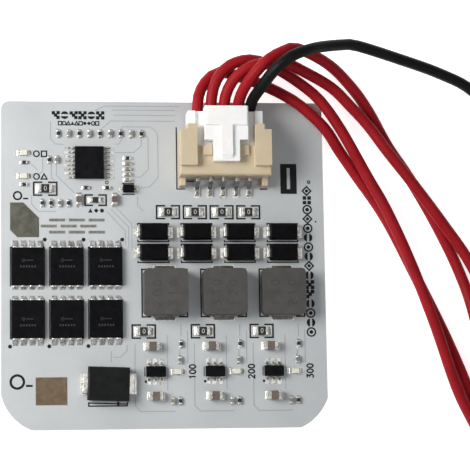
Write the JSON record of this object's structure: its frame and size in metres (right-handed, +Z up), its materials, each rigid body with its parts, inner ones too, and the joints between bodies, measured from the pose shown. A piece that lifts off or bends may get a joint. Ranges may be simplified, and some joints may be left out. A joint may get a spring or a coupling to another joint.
{
  "type": "battery management board",
  "caption": "Small rectangular circuit board that protects and balances a multi-cell battery pack, with switching transistors, inductors, diodes and a sensing harness plugged into its header.",
  "frame": {"origin": "middle of the board's underside", "axes": "+Z up out of the component side, +Y towards the edge where the harness leaves, +X to the right along the row of inductors"},
  "size_m": [0.0986, 0.0867, 0.012],
  "materials": {
    "laminate": "white solder mask over glass laminate",
    "tinned_copper": "tinned copper, a little dull",
    "tinned_leads": "tinned leads, bright",
    "moulding_compound": "matt black moulding",
    "resistor_glaze": "black glaze",
    "ceramic": "sintered ceramic",
    "ferrite": "pressed iron powder, dark warm grey",
    "lamp_base": "white substrate",
    "lamp_lens": "clear resin over a pale yellow chip",
    "header_nylon": "beige moulded nylon",
    "plug_nylon": "white moulded nylon",
    "crimp_metal": "tinned brass crimp",
    "red_insulation": "soft red insulation",
    "black_insulation": "soft black insulation",
    "tie_nylon": "black nylon tie"
  },
  "bodies": {
    "root": {"circuit_board": "laminate", "cell_pad_tin": "tinned_copper", "pack_pad_tin": "tinned_copper", "tinned_strips": "tinned_copper", "part_pads": "tinned_copper", "fet_solder": "tinned_copper", "fet_1": "moulding_compound", "fet_2": "moulding_compound", "fet_3": "moulding_compound", "fet_4": "moulding_compound", "fet_5": "moulding_compound", "fet_6": "moulding_compound", "fet_leads": "tinned_leads", "controller": "moulding_compound", "controller_leads": "tinned_leads", "inductor_1": "ferrite", "inductor_2": "ferrite", "inductor_3": "ferrite", "inductor_clips": "tinned_leads", "diode_1": "moulding_compound", "diode_2": "moulding_compound", "diode_3": "moulding_compound", "diode_4": "moulding_compound", "diode_5": "moulding_compound", "diode_6": "moulding_compound", "diode_7": "moulding_compound", "diode_8": "moulding_compound", "diode_straps": "tinned_leads", "clamp_diode": "moulding_compound", "clamp_straps": "tinned_leads", "resistors": "resistor_glaze", "resistor_ends": "tinned_leads", "ceramic_chips": "ceramic", "ceramic_chip_ends": "tinned_leads", "storage_chips": "ceramic", "storage_chip_ends": "tinned_leads", "zero_links": "resistor_glaze", "zero_link_ends": "tinned_leads", "thermistor": "resistor_glaze", "thermistor_ends": "tinned_leads", "lamp_bases": "lamp_base", "lamp_ends": "tinned_leads", "lamp_lenses": "lamp_lens", "driver_1": "moulding_compound", "driver_2": "moulding_compound", "driver_3": "moulding_compound", "driver_leads": "tinned_leads", "small_diode": "moulding_compound", "small_diode_leads": "tinned_leads", "header_housing": "header_nylon", "header_contacts": "tinned_leads", "plug_housing": "plug_nylon", "plug_terminals": "crimp_metal", "wire_1": "red_insulation", "wire_2": "red_insulation", "wire_3": "red_insulation", "wire_4": "red_insulation", "wire_5": "black_insulation", "coil_bundle": "red_insulation", "coil_ties": "tie_nylon"}
  },
  "joints": []
}
